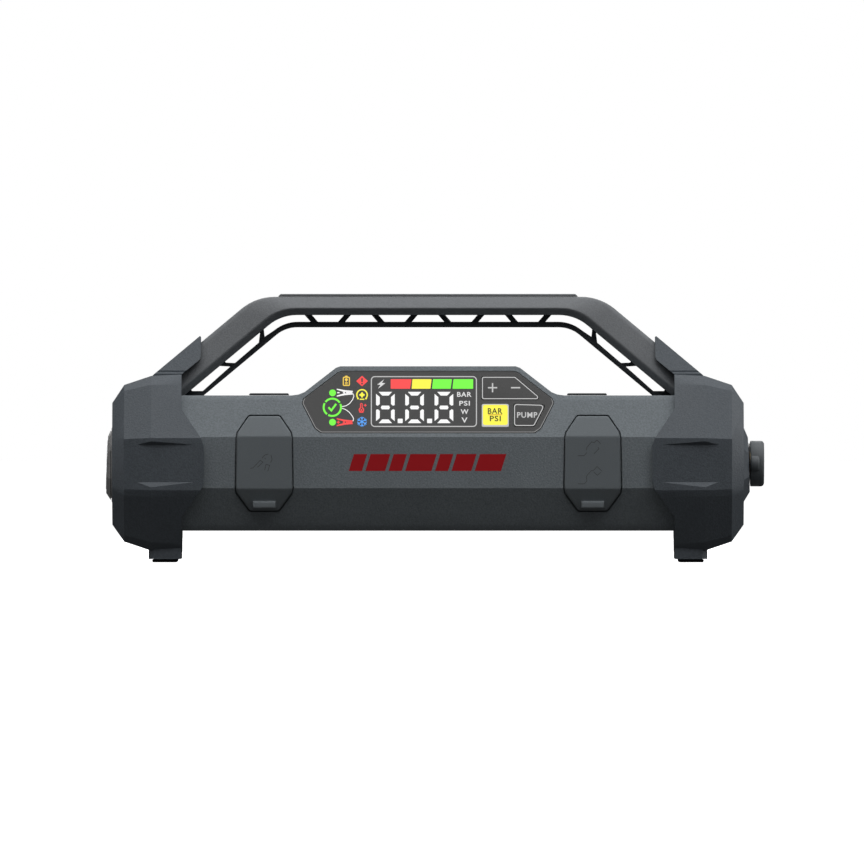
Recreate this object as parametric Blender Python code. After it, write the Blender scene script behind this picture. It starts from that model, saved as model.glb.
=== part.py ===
"""Jump starter pack with a built-in air pump, as separate parts.

The model is in metres with +Z up and the front at -Y. The dimensions below are in
millimetres from the plane of symmetry, and make() turns them into metres.
"""

import math

import bmesh
import bpy
from mathutils import Vector

for leftover in list(bpy.data.objects):
    bpy.data.objects.remove(leftover)

MM = 0.001
MID_X = -3.5  # plane of symmetry, as the outlet cap reaches further out than the lamp
GAP = 0.3  # between two fixed pieces
PARTING = 0.15  # half the gap between the front and the rear shell

# Body section, front half, from the bottom edge to the top edge (Y, Z)
LEAN = math.tan(math.radians(28.0))
BODY_HALF = [
    (-28.3, 15.75),
    (-31.3, 18.75),
    (-41.0, 37.0),
    (-41.0, 62.5),
    (-31.3, 80.75),
    (-28.8, 83.25),
]
BODY_END = 138.0  # half length of the two shells, inside the caps
WALL = 3.0

# End caps: |X|, half depth, then Z of the bottom, lower edge, front edges and top
CAP_STATIONS = [
    (157.5, 38.0, 18.75, 22.0, 38.5, 59.5, 62.0, 78.0, 79.5),
    (151.5, 44.0, 10.25, 13.5, 36.5, 61.5, 64.0, 85.5, 88.5),
    (138.0, 48.0, 5.75, 10.0, 36.0, 62.0, 65.5, 88.5, 93.0),
    (105.0, 44.9, 4.0, 8.5, 36.0, 62.0, 65.5, 89.0, 94.4),
]
CAP_BROW = 0.58  # lean of the narrow band over the upright face
CAP_CHIN = 3.2  # height of the band under it
CAP_RIM = [
    (123.0, 99.0),
    (123.0, 76.5),
    (113.3, 62.3),
    (111.7, 58.2),
    (111.7, 39.3),
    (113.3, 35.9),
    (123.0, 22.5),
    (123.0, 0.0),
]
CAP_CAVITY_END = 152.0
CAP_HOLLOW = [(-25.0, 24.0), (-34.0, 38.0), (-34.0, 61.0), (-25.0, 76.0)]
GRIP_RECESS = [(-46.0, 40.0), (-46.0, 58.7), (-52.0, 63.8), (-52.0, 32.5)]
EAR = [
    (137.5, 93.3),
    (114.0, 113.0),
    (113.5, 112.5),
    (113.5, 102.7),
    (114.3, 100.9),
    (123.0, 93.8),
    (123.2, 90.0),
    (137.5, 90.0),
]
EAR_LEAN = [(16.8, 88.0), (16.8, 94.2), (16.0, 94.9), (16.0, 95.8), (15.6, 96.4), (6.7, 113.2)]

# Feet and their pads
FOOT_X = (123.2, 139.4)
FOOT_Y = (13.5, 30.5)
FOOT_Z = (1.6, 9.0)
PAD_X = (125.0, 137.6)
PAD_Y = (15.0, 29.0)

# Handle: lines parallel to the arm's outer line and to the top
ARM_ANGLE = math.atan(0.833)
ARM_POINT = (-112.0, 111.0)
ARM_END = 131.5
HANDLE_LEVELS = [
    # inward distance on the arm, Z on top, corner radius, half width in Y
    (0.0, 132.6, 26.0, 6.0),
    (1.4, 131.5, 25.7, 7.6),
    (11.8, 126.9, 23.6, 13.0),
    (15.0, 123.5, 22.0, 9.6),
]
TRUSS_LEVELS = [
    (11.0, 126.7, 23.4, 4.0),
    (21.2, 117.35, 16.3, 4.0),
]
TRUSS_GROOVE = [
    (10.6, 127.1, 23.6, 4.4),
    (16.5, 122.0, 21.0, 4.4),
]
HANDLE_LANDING = 82.2  # Z of the ends, sunk in a shallow seat in the top
SEAT_DEPTH = 0.3
WINDOW_INNER = (18.75, 120.1, 18.5, 0.0)
STRUT_X = (-58.3, -41.7, -25.0, -8.33, 8.33, 25.0, 41.7, 58.3)
STRUT_WIDTH = 3.5
STRUT_LEAN = 1.5
CORNER_STEPS = 7
GRIP_HALF_X = 75.0
TOP_Z = 134.0

# Display hump and panel (X, Z as seen from the front)
HUMP = [(43.8, 97.8), (46.0, 97.0), (61.6, 84.9), (64.6, 83.7), (67.6, 83.3), (69.5, 80.0)]
HUMP_HOLLOW = [(42.8, 94.9), (57.0, 84.6), (57.0, 77.0)]
PANEL = [
    (42.6, 95.25),
    (44.9, 94.6),
    (61.9, 81.6),
    (62.7, 79.4),
    (56.3, 66.9),
    (53.4, 64.7),
]
DISPLAY_BOARD = [(40.0, 90.5), (57.0, 78.5), (52.5, 69.0)]
WINDOW = (-28.3, 24.3, 67.5, 92.8)
PLUS_MINUS = [(26.8, 92.5), (43.5, 92.5), (55.4, 82.5), (54.5, 81.2), (26.8, 81.2)]
BAR_PSI = [(26.8, 79.0), (40.3, 79.0), (40.3, 67.8), (26.8, 67.8)]
PUMP = [(42.8, 79.0), (58.5, 78.5), (53.0, 67.8), (42.8, 67.8)]
KEY_GAP = 0.25
KEY_PROUD = 0.15
KEY_CORNER = 0.9
PANEL_CORNER = 1.3
WINDOW_CORNER = 1.5
RECESS_DEPTH = 1.6
ROCKER_X = 40.5

# Port covers
COVER = [
    (-7.6, 73.0),
    (7.6, 73.0),
    (13.2, 64.7),
    (13.7, 62.0),
    (14.1, 37.0),
    (13.6, 34.5),
    (7.2, 25.8),
    (-7.2, 25.8),
    (-13.6, 34.5),
    (-14.1, 37.0),
    (-13.7, 62.0),
    (-13.2, 64.7),
]
COVER_CORNER = 1.8
COVER_BEVEL = 1.0
COVER_X = {"jump": -81.6, "power": 82.1}
COVER_PROUD = 1.2
COVER_IN = 2.8
COVER_GAP = 0.65
TAB = (5.65, 26.8, 30.5, -42.4)

# Lamp and outlet on the ends
END_Z = 48.7
END_HALF = 19.1
END_FACE_HALF = 13.6
OUTLET_Z = 49.2
KNOB_R = 11.45
KNOB_X = (161.0, 168.0)

# Screws (X, Z)
SCREWS = [(-104.0, 26.0), (104.0, 26.0), (-104.0, 72.0), (104.0, 72.0), (-40.0, 22.5), (40.0, 22.5)]

BOSS_REACH = 31.7

# Air pump
GEAR_X = (112.0, 118.5)
MOTOR_YZ = (18.0, 38.0)
CRANK_YZ = (-1.0, 38.0)
PINION_TEETH = 10
GEAR_TEETH = 28
GEAR_MODULE = 1.0

COLOURS = {
    "shell": ((0.125, 0.142, 0.152), 0.55, 0.0),
    "cap": ((0.062, 0.072, 0.08), 0.62, 0.0),
    "handle": ((0.135, 0.145, 0.155), 0.6, 0.0),
    "dark": ((0.012, 0.014, 0.016), 0.6, 0.0),
    "rubber": ((0.075, 0.083, 0.09), 0.75, 0.0),
    "black": ((0.008, 0.008, 0.009), 0.8, 0.0),
    "panel": ((0.08, 0.08, 0.08), 0.35, 0.0),
    "glass": ((0.03, 0.03, 0.032), 0.1, 0.0),
    "key": ((0.07, 0.07, 0.07), 0.4, 0.0),
    "board": ((0.02, 0.12, 0.05), 0.5, 0.0),
    "metal": ((0.55, 0.55, 0.56), 0.35, 1.0),
    "brass": ((0.75, 0.55, 0.25), 0.35, 1.0),
    "cell": ((0.45, 0.47, 0.5), 0.4, 0.3),
    "clear": ((0.5, 0.52, 0.54), 0.1, 0.0),
    "white": ((0.75, 0.75, 0.75), 0.4, 0.0),
    "orange": ((0.7, 0.25, 0.03), 0.5, 0.0),
    "plastic": ((0.04, 0.04, 0.045), 0.5, 0.0),
}


# ---------------------------------------------------------------- shape helpers
def make(name, points, faces, origin=(0.0, 0.0, 0.0)):
    """A mesh object from millimetre points, with its origin at a millimetre point."""
    pivot = Vector(origin)
    mesh = bpy.data.meshes.new(name)
    mesh.from_pydata([(Vector(p) - pivot) * MM for p in points], [], faces)
    tidy = bmesh.new()
    tidy.from_mesh(mesh)
    bmesh.ops.recalc_face_normals(tidy, faces=tidy.faces)
    tidy.to_mesh(mesh)
    tidy.free()
    made = bpy.data.objects.new(name, mesh)
    made.location = (pivot + Vector((MID_X, 0.0, 0.0))) * MM
    bpy.context.scene.collection.objects.link(made)
    return made


def rings(name, loops, origin=(0.0, 0.0, 0.0)):
    """A closed solid through loops that have the same number of points."""
    count = len(loops[0])
    points = [p for loop in loops for p in loop]
    faces = [list(range(count))]
    faces.append([(len(loops) - 1) * count + i for i in range(count)])
    for row in range(len(loops) - 1):
        for i in range(count):
            after = (i + 1) % count
            low = row * count
            faces.append([low + i, low + after, low + count + after, low + count + i])
    return make(name, points, faces, origin)


def placed(u, v, w, axis):
    """A point of an outline (u, v) at the distance w along an axis."""
    if axis == "X":
        return (w, u, v)
    if axis == "Y":
        return (u, w, v)
    return (u, v, w)


def prism(name, outline, start, end, axis, origin=(0.0, 0.0, 0.0)):
    loops = [[placed(u, v, w, axis) for u, v in outline] for w in (start, end)]
    return rings(name, loops, origin)


def soft_prism(name, outline, start, end, axis, cut, origin=(0.0, 0.0, 0.0)):
    """A prism with a chamfer round both of its end faces."""
    small = offset(outline, -cut)
    places = ((small, start), (outline, start + cut), (outline, end - cut), (small, end))
    loops = [[placed(u, v, w, axis) for u, v in line] for line, w in places]
    return rings(name, loops, origin)


def block(name, xs, ys, zs, origin=(0.0, 0.0, 0.0)):
    outline = [(xs[0], zs[0]), (xs[1], zs[0]), (xs[1], zs[1]), (xs[0], zs[1])]
    return prism(name, outline, ys[0], ys[1], "Y", origin)


def circle(u, v, radius, count):
    turn = 2.0 * math.pi / count
    angles = [(i + 0.5) * turn for i in range(count)]
    return [(u + radius * math.cos(a), v + radius * math.sin(a)) for a in angles]


def turned(name, profile, centre, axis, count, origin=(0.0, 0.0, 0.0)):
    """A round solid from (radius, distance along the axis) pairs."""
    loops = []
    for radius, w in profile:
        ring = circle(centre[0], centre[1], radius, count)
        loops.append([placed(u, v, w, axis) for u, v in ring])
    return rings(name, loops, origin)


def offset(outline, distance):
    """The outline moved outwards by a distance, with sharp corners."""
    area = 0.0
    for (a, b), (c, d) in zip(outline, outline[1:] + outline[:1]):
        area += a * d - b * c
    side = 1.0 if area > 0 else -1.0
    moved = []
    for i, here in enumerate(outline):
        back = outline[i - 1]
        ahead = outline[(i + 1) % len(outline)]
        first = Vector((here[0] - back[0], here[1] - back[1])).normalized()
        second = Vector((ahead[0] - here[0], ahead[1] - here[1])).normalized()
        normal_a = Vector((first.y, -first.x)) * side
        normal_b = Vector((second.y, -second.x)) * side
        both = normal_a + normal_b
        both = both / max(both.length_squared / 2.0, 1e-6)
        moved.append((here[0] + both.x * distance, here[1] + both.y * distance))
    return moved


def eased(outline, radius, steps=3):
    """The outline with round corners, smaller where a side is short."""
    found = []
    count = len(outline)
    for i in range(count):
        here = Vector(outline[i])
        back = Vector(outline[i - 1]) - here
        ahead = Vector(outline[(i + 1) % count]) - here
        angle = back.angle(ahead)
        room = 0.42 * min(back.length, ahead.length)
        reach = min(radius / math.tan(angle / 2.0), room)
        start = here + back.normalized() * reach
        end = here + ahead.normalized() * reach
        for step in range(steps + 1):
            t = step / steps
            point = start * (1.0 - t) ** 2 + here * 2.0 * t * (1.0 - t) + end * t * t
            found.append((point.x, point.y))
    return found


def bake(target, tools, operation):
    for tool in tools:
        step = target.modifiers.new(operation, "BOOLEAN")
        step.operation = operation
        step.solver = "EXACT"
        step.object = tool
    bpy.context.view_layer.update()
    graph = bpy.context.evaluated_depsgraph_get()
    result = bpy.data.meshes.new_from_object(target.evaluated_get(graph))
    tidy = bmesh.new()
    tidy.from_mesh(result)
    bmesh.ops.remove_doubles(tidy, verts=tidy.verts, dist=0.000002)
    bmesh.ops.dissolve_degenerate(tidy, edges=tidy.edges, dist=0.000002)
    tidy.to_mesh(result)
    tidy.free()
    target.modifiers.clear()
    target.data = result
    for tool in tools:
        bpy.data.objects.remove(tool)
    return target


def cut(target, *tools):
    return bake(target, tools, "DIFFERENCE")


def join(target, *tools):
    return bake(target, tools, "UNION")


def common(target, *tools):
    return bake(target, tools, "INTERSECT")


def finish(part, look, smooth=False):
    colour, roughness, metallic = COLOURS[look]
    surface = bpy.data.materials.new(part.name + "_" + look)
    surface.use_nodes = True
    shader = surface.node_tree.nodes["Principled BSDF"]
    shader.inputs["Base Color"].default_value = (*colour, 1.0)
    shader.inputs["Roughness"].default_value = roughness
    shader.inputs["Metallic"].default_value = metallic
    surface.diffuse_color = (*colour, 1.0)
    part.data.materials.clear()
    part.data.materials.append(surface)
    part.data.name = part.name
    if smooth:
        part.data.shade_smooth()
        part.data.set_sharp_from_angle(angle=math.radians(32.0))
    return part


def mirrored(outline):
    return [(-u, v) for u, v in outline]


def both_halves(half):
    """A closed outline from its points at u > 0, listed from the top to the bottom."""
    return half + [(-u, v) for u, v in reversed(half)]


def slanted(x, z, depth):
    """A point over (X, Z) on the leaning upper face, moved out along its normal."""
    lean = math.radians(28.0)
    y = BODY_HALF[2][0] + (z - BODY_HALF[3][1]) * LEAN
    return (x, y - depth * math.cos(lean), z + depth * math.sin(lean))


def slant_prism(name, outline, low, high, origin=(0.0, 0.0, 0.0)):
    loops = [[slanted(x, z, d) for x, z in outline] for d in (low, high)]
    return rings(name, loops, origin)


def soft_slant_prism(name, outline, low, high, cutback, origin=(0.0, 0.0, 0.0)):
    small = offset(outline, -cutback)
    places = ((outline, low), (outline, high - cutback), (small, high))
    loops = [[slanted(x, z, d) for x, z in line] for line, d in places]
    return rings(name, loops, origin)


BODY = BODY_HALF + [(-y, z) for y, z in reversed(BODY_HALF)]


def at_height(start, end, z):
    part = (z - start[1]) / (end[1] - start[1])
    return (start[0] + (end[0] - start[0]) * part, z)


def skin(outer, inner, low=19.5, high=79.5):
    """The section of a plate that follows the front of the body between two offsets."""
    lines = []
    for distance in (outer, -inner):
        a, b, c, d = offset(BODY, distance)[1:5]
        lines.append([at_height(a, b, low), b, c, at_height(c, d, high)])
    return lines[0] + list(reversed(lines[1]))


# ---------------------------------------------------------------- shells
def half_section(distance, side):
    edge = [(y, z) for y, z in offset(BODY, distance) if y * side > 0]
    if side < 0:
        edge = sorted(edge, key=lambda p: p[1])
    else:
        edge = sorted(edge, key=lambda p: p[1])
    bottom = edge[0][1]
    top = edge[-1][1]
    return [(side * PARTING, bottom)] + edge + [(side * PARTING, top)]


def cavity(name, side):
    edge = sorted([p for p in offset(BODY, -WALL) if p[0] * side > 0], key=lambda p: p[1])
    outline = [(-side * 2.0, edge[0][1])] + edge + [(-side * 2.0, edge[-1][1])]
    return prism(name, outline, -BODY_END + WALL, BODY_END - WALL, "X")


def hump_solid(name, half, shrink, back):
    solid = prism(name, both_halves(half), -70.0, back, "Y")
    top = 101.0
    front = [slanted(0.0, z, -shrink)[1:] for z in (74.0, top)]
    side_view = [
        (front[0][0], front[0][1]),
        (front[1][0], front[1][1]),
        (-8.0 - shrink, top),
        (back - 0.4, 80.0),
        (back - 0.4, 74.0),
    ]
    return common(solid, prism("side", side_view, -75.0, 75.0, "X"))


def front_shell():
    shell = prism("front_shell", half_section(0.0, -1), -BODY_END, BODY_END, "X")
    join(shell, hump_solid("hump", HUMP, 0.0, -1.5))
    cut(shell, cavity("cavity", -1))
    cut(shell, hump_solid("hollow", HUMP_HOLLOW, WALL, -5.0))
    for key in COVER_X:
        centre = COVER_X[key]
        plate = skin(-1.4, 5.6, 21.3, 77.4)
        join(shell, prism("tray", plate, centre - 18.0, centre + 18.0, "X"))
    for x, z in SCREWS:
        profile = [(4.2, -BOSS_REACH if abs(x) > 50 else -28.5), (4.2, -GAP)]
        join(shell, turned("boss", profile, (x, z), "Y", 16))
        cut(shell, turned("bore", [(1.6, -14.0), (1.6, 2.0)], (x, z), "Y", 12))
    for key in COVER_X:
        centre = COVER_X[key]
        pocket = prism("pocket", skin(8.0, 3.2), centre - 20.0, centre + 20.0, "X")
        line = [(centre + x, z) for x, z in offset(eased(COVER, COVER_CORNER), COVER_GAP)]
        cut(shell, common(pocket, prism("line", line, -60.0, 0.0, "Y")))
    wide = offset(eased(both_halves(PANEL), PANEL_CORNER), GAP)
    cut(shell, slant_prism("seat", wide, -RECESS_DEPTH, 6.0))
    inner = offset(both_halves(PANEL), -2.2)
    cut(shell, slant_prism("opening", inner, -4.5, 2.0))
    jump = COVER_X["jump"]
    power = COVER_X["power"]
    cut(shell, block("hole", (jump - 12.3, jump + 12.3), (-40.0, -30.0), (43.2, 56.8)))
    cut(shell, turned("hole", [(5.6, -40.0), (5.6, -30.0)], (power, 57.0), "Y", 20))
    cut(shell, block("hole", (power - 7.8, power + 7.8), (-40.0, -30.0), (39.2, 47.4)))
    landing(shell, -1.0)
    cut(shell, turned("way", [(4.2, 130.0), (4.2, 142.0)], (0.0, OUTLET_Z), "X", 16))
    finish(shell, "shell")


def landing(shell, face):
    """Shallow seats in the top for the two ends of the handle."""
    for side in (-1.0, 1.0):
        xs = sorted((side * 97.0, side * 133.0))
        ys = sorted((-face * 2.0, face * (HANDLE_LEVELS[2][3] + 0.5)))
        cut(shell, block("seat", xs, ys, (HANDLE_LANDING - SEAT_DEPTH, 90.0)))


def rear_shell():
    shell = prism("rear_shell", half_section(0.0, 1), -BODY_END, BODY_END, "X")
    cut(shell, cavity("cavity", 1))
    for x, z in SCREWS:
        deep = BOSS_REACH if abs(x) > 50 else 28.5
        join(shell, turned("boss", [(4.7, GAP), (4.7, deep)], (x, z), "Y", 16))
        cut(shell, turned("well", [(3.4, 9.0), (3.4, 50.0)], (x, z), "Y", 16))
        cut(shell, turned("bore", [(1.7, -2.0), (1.7, 20.0)], (x, z), "Y", 12))
    for side in (-1.0, 1.0):
        xs = sorted((side * 72.0, side * 87.2))
        cut(shell, block("vent", xs, (8.0, 21.0), (76.0, 90.0)))
    landing(shell, 1.0)
    cut(shell, turned("way", [(4.2, 130.0), (4.2, 142.0)], (0.0, OUTLET_Z), "X", 16))
    finish(shell, "shell")


def cap_ring(station, side):
    x, deep, bottom, low, edge_low, edge, edge_top, high, top = station
    brow = deep - (edge_top - edge) * CAP_BROW
    front = [
        (deep - (edge_low - low) * LEAN - (low - bottom), bottom),
        (deep - (edge_low - low) * LEAN, low),
        (deep - CAP_CHIN * 0.4, edge_low - CAP_CHIN),
        (deep, edge_low),
        (deep, edge),
        (brow, edge_top),
        (brow - (high - edge_top) * LEAN, high),
        (brow - (high - edge_top) * LEAN - (top - high), top),
    ]
    ring = [(side * x, -y, z) for y, z in front]
    return ring + [(side * x, y, z) for y, z in reversed(front)]


def end_octagon(half):
    corner = half * 0.42
    return [
        (-half, END_Z - corner),
        (-half, END_Z + corner),
        (-corner, END_Z + half),
        (corner, END_Z + half),
        (half, END_Z + corner),
        (half, END_Z - corner),
        (corner, END_Z - half),
        (-corner, END_Z - half),
    ]


def end_boss(name, side, base, base_half, face_half):
    """The raised octagon on an end. Its face leans, further out at the bottom."""
    loops = [[(side * base, y, z) for y, z in end_octagon(base_half)]]
    if base < 157.4:
        loops.append([(side * 157.5, y, z) for y, z in end_octagon(base_half)])
    face = []
    for y, z in end_octagon(face_half):
        out = 160.35 - (z - END_Z) * 0.035
        face.append((side * out, y, z))
    loops.append(face)
    return rings(name, loops)


def arm_line(x, inward):
    """Z of a line parallel to the arm's outer line, on the left arm."""
    drop = inward / math.cos(ARM_ANGLE)
    return ARM_POINT[1] - drop + math.tan(ARM_ANGLE) * (x - ARM_POINT[0])


def arm_slot(side):
    """The room that a handle arm takes in a cap, with a small clearance."""
    loops = []
    for x in (-(ARM_END + 0.6), -95.0):
        half = []
        for inward, _, _, wide in HANDLE_LEVELS[:3]:
            half.append((wide + 0.4, arm_line(x, inward - 0.45)))
        half.append((half[-1][0], 70.0))
        ring = [(-side * x, -y, z) for y, z in half]
        loops.append(ring + [(-side * x, y, z) for y, z in reversed(half)])
    return rings("slot", loops)


def end_cap(name, side):
    cap = rings(name, [cap_ring(station, side) for station in CAP_STATIONS])
    rim = [(side * x, z) for x, z in CAP_RIM] + [(side * 95.0, 0.0), (side * 95.0, 99.0)]
    cut(cap, prism("rim", rim, -60.0, 60.0, "Y"))
    for face in (-1.0, 1.0):
        groove = [(-face * y, z) for y, z in GRIP_RECESS]
        ends = sorted((side * 100.0, side * 150.0))
        cut(cap, prism("grip", groove, ends[0], ends[1], "X"))
    ear = [(side * x, z) for x, z in EAR]
    lean = [(-y, z) for y, z in EAR_LEAN] + [(y, z) for y, z in reversed(EAR_LEAN)]
    ends = sorted((side * 100.0, side * 145.0))
    join(cap, common(prism("ear", ear, -20.0, 20.0, "Y"), prism("lean", lean, ends[0], ends[1], "X")))
    for face in (-1.0, 1.0):
        x0, x1 = FOOT_X
        y0, y1 = FOOT_Y
        plan = [(x0, y0), (x0, y1), (x1 - 2.6, y1), (x1, y1 - 2.6), (x1, y0 + 2.6), (x1 - 2.6, y0)]
        plan = [(side * x, face * y) for x, y in plan]
        join(cap, prism("foot", plan, FOOT_Z[0], FOOT_Z[1], "Z"))
    if side > 0:
        join(cap, end_boss("boss", side, 150.0, END_HALF, END_FACE_HALF))
    ends = sorted((side * 90.0, side * (BODY_END + GAP)))
    cut(cap, prism("body", offset(BODY, GAP), ends[0], ends[1], "X"))
    ends = sorted((side * 130.0, side * CAP_CAVITY_END))
    hollow = CAP_HOLLOW + [(-y, z) for y, z in reversed(CAP_HOLLOW)]
    cut(cap, prism("hollow", hollow, ends[0], ends[1], "X"))
    cut(cap, arm_slot(side))
    if side < 0:
        ends = (-165.0, -150.0)
        cut(cap, prism("lamp", end_octagon(16.2), ends[0], ends[1], "X"))
    else:
        cut(cap, turned("seat", [(12.0, 160.15), (12.0, 170.0)], (0.0, OUTLET_Z), "X", 32))
        cut(cap, turned("way", [(6.3, 140.0), (6.3, 170.0)], (0.0, OUTLET_Z), "X", 24))
    finish(cap, "cap")


# ---------------------------------------------------------------- handle
def level_points(level):
    """(X, Z) points of one edge line, from the left arm's end to the right arm's end."""
    inward, top, radius, _ = level
    meet = ARM_POINT[0] + (top - arm_line(ARM_POINT[0], inward)) / math.tan(ARM_ANGLE)
    tangent = radius * math.tan(ARM_ANGLE / 2.0)
    centre = (meet + tangent, top - radius)
    half = [(-ARM_END, arm_line(-ARM_END, inward))]
    for step in range(CORNER_STEPS + 1):
        angle = math.pi / 2.0 + ARM_ANGLE * (1.0 - step / CORNER_STEPS)
        half.append((centre[0] + radius * math.cos(angle), centre[1] + radius * math.sin(angle)))
    return half + [(-x, z) for x, z in reversed(half)]


def swept(name, levels):
    lines = [(level_points(level), level[3]) for level in levels]
    loops = []
    for i in range(len(lines[0][0])):
        front = [(line[i][0], -wide, line[i][1]) for line, wide in lines]
        back = [(line[i][0], wide, line[i][1]) for line, wide in reversed(lines)]
        loops.append(front + back)
    return rings(name, loops)


def handle():
    bar = swept("handle", HANDLE_LEVELS)
    cut(bar, block("under", (-140.0, 140.0), (-20.0, 20.0), (60.0, HANDLE_LANDING)))
    cut(bar, swept("groove", TRUSS_GROOVE))
    finish(bar, "handle")


def truss_windows():
    found = []
    arm = [
        [(-119.4, 87.2), (-117.9, 85.5), (-112.6, 85.5), (-98.9, 97.7), (-103.9, 98.0), (-106.0, 100.0)],
        [(-103.0, 102.0), (-101.0, 99.7), (-96.5, 99.5), (-84.6, 109.7), (-84.0, 114.5), (-86.0, 117.0)],
    ]
    inner = [p for p in level_points(WINDOW_INNER)[1:] if p[0] < -62.0]
    outer = [(x, z + 5.5) for x, z in reversed(inner)]
    third = [(-81.7, 112.6)] + [p for p in inner if p[0] > -80.5] + [(-58.7, 120.1)]
    third += [(-61.8, 123.6), (-61.8, 126.0)] + [p for p in outer if -80.0 < p[0] < -64.0]
    third += [(-82.4, 119.5)]
    arm.append(third)
    for outline in arm:
        found.append(outline)
        found.append(mirrored(outline))
    for left, right in zip(STRUT_X, STRUT_X[1:]):
        tilt_left = STRUT_LEAN if STRUT_X.index(left) % 2 else -STRUT_LEAN
        tilt_right = -tilt_left
        half = STRUT_WIDTH / 2.0
        found.append(
            [
                (left + half - tilt_left, 120.1),
                (right - half - tilt_right, 120.1),
                (right - half + tilt_right * 1.6, 124.6),
                (left + half + tilt_left * 1.6, 124.6),
            ]
        )
    return found


def handle_truss():
    truss = swept("handle_truss", TRUSS_LEVELS)
    for outline in truss_windows():
        cut(truss, prism("window", outline, -9.0, 9.0, "Y"))
    cut(truss, block("under", (-140.0, 140.0), (-20.0, 20.0), (40.0, HANDLE_LANDING)))
    cut(truss, block("end", (-140.0, -122.7), (-20.0, 20.0), (40.0, 140.0)))
    cut(truss, block("end", (122.7, 140.0), (-20.0, 20.0), (40.0, 140.0)))
    finish(truss, "dark")


def grip_pad():
    long = GRIP_HALF_X
    top = TOP_Z
    outline = [(-long, 132.7), (-long + 1.3, top), (long - 1.3, top), (long, 132.7)]
    pad = prism("grip_pad", outline, -5.8, 5.8, "Y")
    finish(pad, "rubber")


# ---------------------------------------------------------------- small outer pieces
def foot_pads():
    for word, side in (("left", -1.0), ("right", 1.0)):
        for place, face in (("front", -1.0), ("rear", 1.0)):
            plan = [(PAD_X[0], PAD_Y[0]), (PAD_X[0], PAD_Y[1]), (PAD_X[1], PAD_Y[1]), (PAD_X[1], PAD_Y[0])]
            plan = [(side * x, face * y) for x, y in plan]
            name = "foot_pad_" + place + "_" + word
            pad = rings(
                name,
                [
                    [(x, y, 0.0) for x, y in offset(plan, -0.4)],
                    [(x, y, 0.4) for x, y in plan],
                    [(x, y, 1.45) for x, y in plan],
                ],
            )
            finish(pad, "black")


def top_vents():
    for word, side in (("left", -1.0), ("right", 1.0)):
        xs = sorted((side * 69.6, side * 89.5))
        outline = [(xs[0], 4.5), (xs[1], 4.5), (xs[1], 24.5), (xs[0], 24.5)]
        low = 83.4
        loops = [
            [(x, y, low) for x, y in outline],
            [(x, y, low + 0.5) for x, y in outline],
            [(x, y, low + 1.0) for x, y in offset(outline, -0.5)],
        ]
        vent = rings("top_vent_" + word, loops)
        for step in range(5):
            y = 8.4 + step * 2.9
            middle = side * 79.55
            cut(vent, block("slot", (middle - 6.8, middle + 6.8), (y, y + 1.5), (80.0, 88.0)))
        finish(vent, "plastic")


def port_cover(name, key):
    centre = COVER_X[key]
    hinge = hinge_point(centre)
    cover = prism(name, skin(COVER_PROUD, COVER_IN), centre - 20.0, centre + 20.0, "X", hinge)
    line = [(centre + x, z) for x, z in eased(COVER, COVER_CORNER)]
    common(cover, prism("line", line, -60.0, 0.0, "Y"))
    bevel_outer_rim(cover)
    ends = (centre - 20.0, centre + 20.0)
    top = [(-36.42, 76.0), (-36.42, 72.84), (-31.0, 69.96), (-31.0, 76.0)]
    foot = [(-35.2, 24.0), (-35.2, 26.1), (-31.0, 28.6), (-29.0, 24.0)]
    cut(cover, prism("relief", top, ends[0], ends[1], "X"))
    cut(cover, prism("relief", foot, ends[0], ends[1], "X"))
    half, low, high, out = TAB
    lip = [(out, low + 0.5), (out, high - 0.4), (out + 0.6, high)]
    lip += [(-36.0, high), (-36.0, low), (out + 0.6, low)]
    join(cover, prism("tab", lip, centre - half, centre + half, "X"))
    finish(cover, "rubber")


def bevel_outer_rim(cover):
    """A chamfer round the outer face of a port cover."""
    work = bmesh.new()
    work.from_mesh(cover.data)
    bmesh.ops.dissolve_limit(work, angle_limit=0.01, verts=work.verts, edges=work.edges)
    work.normal_update()
    rim = []
    for edge in work.edges:
        normals = [face.normal for face in edge.link_faces]
        outer = [n for n in normals if n.y < -0.8]
        if len(outer) == 1 and len(normals) == 2:
            rim.append(edge)
    bmesh.ops.bevel(
        work,
        geom=rim,
        offset=COVER_BEVEL * MM,
        offset_type="OFFSET",
        segments=1,
        affect="EDGES",
        clamp_overlap=True,
    )
    bmesh.ops.triangulate(work, faces=work.faces)
    work.to_mesh(cover.data)
    work.free()


def hinge_point(centre):
    """On the outer face of a cover, at its top edge."""
    out = offset(BODY, COVER_PROUD)
    near = out[3]
    far = out[4]
    part = (COVER[0][1] - near[1]) / (far[1] - near[1])
    return (centre, near[0] + (far[0] - near[0]) * part, COVER[0][1])


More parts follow.
